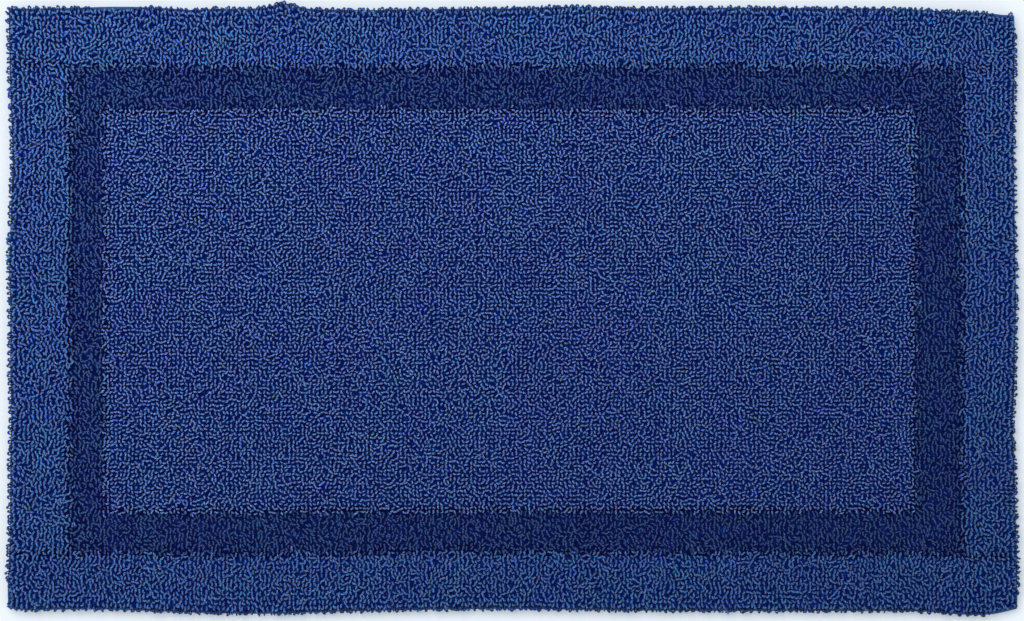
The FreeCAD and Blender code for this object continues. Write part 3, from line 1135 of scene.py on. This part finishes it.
# %% [markdown]
# ### Packed legs
# The same yarn, seen end on, deep in the pile where hardly any light comes. Of each pair of legs
# only a round dark top shows. The mass under the loops stands higher than in the channel and
# catches more light, so the colours change with the height.

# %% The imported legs
LEG = 2.2 * MM  # from one leg to the next
SHADED_BELOW = 8.4 * MM  # the channel's mass is lower than this
LIT_ABOVE = 10.4 * MM  # and the loops' mass reaches this


def packed_cotton():
    material, tree, shader = new_material("packed_cotton_legs")
    place = add(tree, "TexCoord", {}, out="Object")
    level = add(tree, "SeparateXYZ", {}, place, out="Z")
    raised = add(tree, "MapRange", SMOOTH, level, SHADED_BELOW, LIT_ABOVE)
    flat = add(tree, "UVMap", {"uv_map": "flat"})
    stretched = add(tree, "Mapping", {}, flat, Scale=(1.0, 0.6, 1.0))
    legs = add(tree, "TexVoronoi", {}, Vector=stretched, Scale=1 / LEG, Randomness=1.0)
    round_tops = add(tree, "MapRange", SMOOTH, legs, 0.1, 0.6, 1.0, 0.0)
    # Painted shade: darker between the round tops of the legs and where the mass lies lower.
    between = add(tree, "Mix", COLOUR, raised, linear("#000a42"), linear("#00145a"))
    tops = add(tree, "Mix", COLOUR, raised, linear("#06226a"), linear("#0a3e92"))
    shade = add(tree, "Mix", COLOUR, round_tops, between, tops)
    tree.links.new(shade, shader.inputs["Base Color"])
    bumps = add(tree, "Bump", {}, Height=round_tops, Strength=1.0, Distance=1.0 * MM)
    tree.links.new(bumps, shader.inputs["Normal"])
    shader.inputs["Roughness"].default_value = 0.95
    shader.inputs["Specular IOR Level"].default_value = 0.1
    return material


legs_cotton = packed_cotton()
for piece in (*fill.values(), centre_fill):
    piece.data.materials.append(legs_cotton)
print(f"{legs_cotton.name} on {len(fill) + 1} slabs")

# %% [markdown]
# ### Canvas
# A plain weave of coarse cotton yarns, dyed with the mat, matt and a little fuzzy. Its threads
# cross over and under, so its relief is the product of two waves, which gives a small checked
# grain. Uneven spinning leaves thick places, the slubs, that take more or less of the dye.

# %% Dyed canvas
CANVAS_PITCH = 1.6 * MM  # two threads, one over and one under
SLUBS = 160.0  # per metre


def waves_of(tree, coordinates, pitch_x, pitch_y):
    """Two waves, one along each direction of a flat map in metres."""
    waves = []
    for axis, pitch in (("X", pitch_x), ("Y", pitch_y)):
        along = add(tree, "SeparateXYZ", {}, coordinates, out=axis)
        angle = add(tree, "Math", TIMES, along, 2 * math.pi / pitch)
        waves.append(add(tree, "Math", SINE, angle))
    return waves


def dyed_canvas():
    material, tree, shader = new_material("dyed_cotton_canvas")
    place = add(tree, "UVMap", {"uv_map": "flat"})
    warp, weft = waves_of(tree, place, CANVAS_PITCH, CANVAS_PITCH)
    weave = add(tree, "Math", TIMES, warp, weft)
    slub = add(tree, "TexNoise", {}, Vector=place, Scale=SLUBS, Detail=3.0)
    uneven = add(tree, "MapRange", SMOOTH, add(tree, "Math", ADD, weave, slub), -0.6, 1.4)
    shade = add(tree, "Mix", COLOUR, uneven, linear("#233f74"), linear("#456a9f"))
    tree.links.new(shade, shader.inputs["Base Color"])
    rough = add(tree, "MapRange", SMOOTH, slub, 0.3, 0.7, 0.8, 0.95)
    tree.links.new(rough, shader.inputs["Roughness"])
    bumps = add(tree, "Bump", {}, Height=weave, Strength=0.5, Distance=0.15 * MM)
    tree.links.new(bumps, shader.inputs["Normal"])
    shader.inputs["Specular IOR Level"].default_value = 0.2
    shader.inputs["Sheen Weight"].default_value = 0.15
    return material


canvas = dyed_canvas()
for piece in (ground, *hems.values()):
    piece.data.materials.append(canvas)
print(f"{canvas.name} on the ground cloth and {len(hems)} hems")

# %% [markdown]
# ### Latex
# It is sprayed on wet and dries to a milky skin with a dull gleam. The skin sags between the rows
# of tufts, so it has ribs at the pitch of the pile, and the blue roots show through it as clouded
# dots.

# %% Sprayed latex
CLOUDS = 90.0  # per metre, where the skin is thicker or thinner


def sprayed_latex():
    material, tree, shader = new_material("sprayed_latex")
    place = add(tree, "UVMap", {"uv_map": "flat"})
    rows, stitches = waves_of(tree, place, PITCH, PITCH)
    crossings = add(tree, "Math", ADD, rows, stitches)
    knots = add(tree, "MapRange", SMOOTH, crossings, 0.4, 1.8)
    cloud = add(tree, "TexNoise", {}, Vector=place, Scale=CLOUDS, Detail=4.0)
    thin = add(tree, "MapRange", SMOOTH, cloud, 0.3, 0.7, 0.15, 0.75)
    showing = add(tree, "Math", TIMES, knots, thin)
    shade = add(tree, "Mix", COLOUR, showing, linear("#c8ccd0"), linear("#5d7099"))
    tree.links.new(shade, shader.inputs["Base Color"])
    rough = add(tree, "MapRange", SMOOTH, cloud, 0.3, 0.7, 0.42, 0.62)
    tree.links.new(rough, shader.inputs["Roughness"])
    ribs = add(tree, "Math", TIMES, rows, 0.6)
    relief = add(tree, "Math", ADD, ribs, add(tree, "Math", ADD, knots, cloud))
    bumps = add(tree, "Bump", {}, Height=relief, Strength=0.7, Distance=0.25 * MM)
    tree.links.new(bumps, shader.inputs["Normal"])
    return material


coat.data.materials.append(sprayed_latex())
print("material of the back:", coat.data.materials[0].name)

# %% [markdown]
# ### Thread and tape
# Sewing thread is spun polyester, twisted hard, so fine slanting lines run round it and it gleams
# a little on their crests. Satin tape is woven so that its crossing threads lie over many others:
# close ribs across it and a smooth shine.

# %% Sewing thread
THREAD_TURN = 0.9 * MM  # length of thread in which it turns once
THREAD_PLIES = 2


def twisted_thread():
    material, tree, shader = new_material("twisted_sewing_thread")
    yarn = add(tree, "UVMap", {"uv_map": "yarn"})
    along = add(tree, "SeparateXYZ", {}, yarn, out="X")
    around = add(tree, "SeparateXYZ", {}, yarn, out="Y")
    turned = add(tree, "Math", TIMES, along, 2 * math.pi / THREAD_TURN)
    angle = add(tree, "Math", TIMES, around, THREAD_PLIES * 2 * math.pi)
    twist = add(tree, "Math", SINE, add(tree, "Math", ADD, turned, angle))
    crests = add(tree, "MapRange", SMOOTH, twist, -1.0, 1.0)
    shade = add(tree, "Mix", COLOUR, crests, linear("#1c2f66"), linear("#4a66a8"))
    tree.links.new(shade, shader.inputs["Base Color"])
    rough = add(tree, "MapRange", SMOOTH, twist, -1.0, 1.0, 0.6, 0.45)
    tree.links.new(rough, shader.inputs["Roughness"])
    bumps = add(tree, "Bump", {}, Height=twist, Strength=0.6, Distance=0.1 * MM)
    tree.links.new(bumps, shader.inputs["Normal"])
    return material


thread = twisted_thread()
for piece in stitching.values():
    piece.data.materials.append(thread)
print(f"{thread.name} on {len(stitching)} rows of stitches")

# %% Satin tape
TAPE_WARP = 0.5 * MM
TAPE_WEFT = 0.35 * MM


def satin_tape():
    material, tree, shader = new_material("satin_label_tape")
    place = add(tree, "UVMap", {"uv_map": "flat"})
    warp, weft = waves_of(tree, place, TAPE_WARP, TAPE_WEFT)
    weave = add(tree, "Math", ADD, weft, add(tree, "Math", TIMES, warp, 0.3))
    crests = add(tree, "MapRange", SMOOTH, weave, -1.3, 1.3)
    shade = add(tree, "Mix", COLOUR, crests, linear("#dcdde0"), linear("#f4f4f2"))
    tree.links.new(shade, shader.inputs["Base Color"])
    rough = add(tree, "MapRange", SMOOTH, weave, -1.3, 1.3, 0.5, 0.34)
    tree.links.new(rough, shader.inputs["Roughness"])
    bumps = add(tree, "Bump", {}, Height=weave, Strength=0.4, Distance=0.05 * MM)
    tree.links.new(bumps, shader.inputs["Normal"])
    shader.inputs["Sheen Weight"].default_value = 0.2
    return material


label.data.materials.append(satin_tape())
print("material of the label:", label.data.materials[0].name)

# %% [markdown]
# ## Standing for the imported nodes
# Each shown piece rides on the root body and hides the imported node it stands for. The mat is
# limp, so nothing in it moves by itself: all ride on the root.

# %% Ride and replace
def stands_for(piece, node):
    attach(piece, "root")
    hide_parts(node)


for name, piece in pile.items():
    zone, _, side = name.split("_")
    if zone == "centre":
        stands_for(piece, "centre_pile")
    elif zone == "border":
        stands_for(piece, f"border_pile_{side}")
    else:
        stands_for(piece, f"channel_pile_{side}")
stands_for(centre_fill, "centre_pile")
for side in SIDES:
    stands_for(fill["border", side], f"border_pile_{side}")
    stands_for(fill["channel", side], f"channel_pile_{side}")
    stands_for(hems[side], f"hem_{side}")
    stands_for(stitching[side], f"hem_stitching_{side}")
stands_for(ground, "ground_cloth")
stands_for(coat, "back_coat")
stands_for(label, "care_label")

# %% [markdown]
# ## Floor, light and camera
# The mat lies on a plain pale floor. A large soft light from the rear left and a bright sky keep
# the shadows faint, as in an open studio. The camera looks straight down through a long lens, so
# the sides of the mat hardly show.

# %% Floor
deselect()
bpy.ops.mesh.primitive_plane_add(size=30)
floor = bpy.context.object
floor.name = "floor"
paint, tree, shader = new_material("matt_floor_paint")
shader.inputs["Base Color"].default_value = linear("#f1f6f8")
shader.inputs["Roughness"].default_value = 0.9
shader.inputs["Specular IOR Level"].default_value = 0.1
floor.data.materials.append(paint)
print("material of the floor:", paint.name)

# %% Light
scene = bpy.context.scene
scene.view_settings.view_transform = "Standard"
world = bpy.data.worlds.new("studio")
scene.world = world
world.use_nodes = True
sky = world.node_tree.nodes["Background"]
sky.inputs["Color"].default_value = linear("#f0f6ff")
sky.inputs["Strength"].default_value = 0.75

key_data = bpy.data.lights.new("key", "AREA")
key_data.shape = "DISK"
key_data.size = 5.0
key_data.energy = 240
key = bpy.data.objects.new("key", key_data)
key.location = (-1.6, 2.0, 6.6)
key.rotation_euler = key.location.to_track_quat("Z", "Y").to_euler()
bpy.context.collection.objects.link(key)
print(f"the key light is {key.location.length:.1f} m from the mat and {key_data.size:.0f} m across")

# %% Camera
CAMERA_HEIGHT = 3.2
FRAME_WIDTH = 1.0159  # what the frame takes in, in metres
FRAMED_LEVEL = 0.6 * pile_top  # the level at which it does, where the outermost loops bulge
OFF_CENTRE = (-0.5 * MM, -0.8 * MM)
SENSOR = 36.0
camera_data = bpy.data.cameras.new("camera")
camera_data.sensor_width = SENSOR
camera_data.lens = SENSOR * (CAMERA_HEIGHT - FRAMED_LEVEL) / FRAME_WIDTH
camera = bpy.data.objects.new("camera", camera_data)
camera.location = (*OFF_CENTRE, CAMERA_HEIGHT)
bpy.context.collection.objects.link(camera)
scene.camera = camera
print(f"the lens is {camera_data.lens:.0f} mm long")
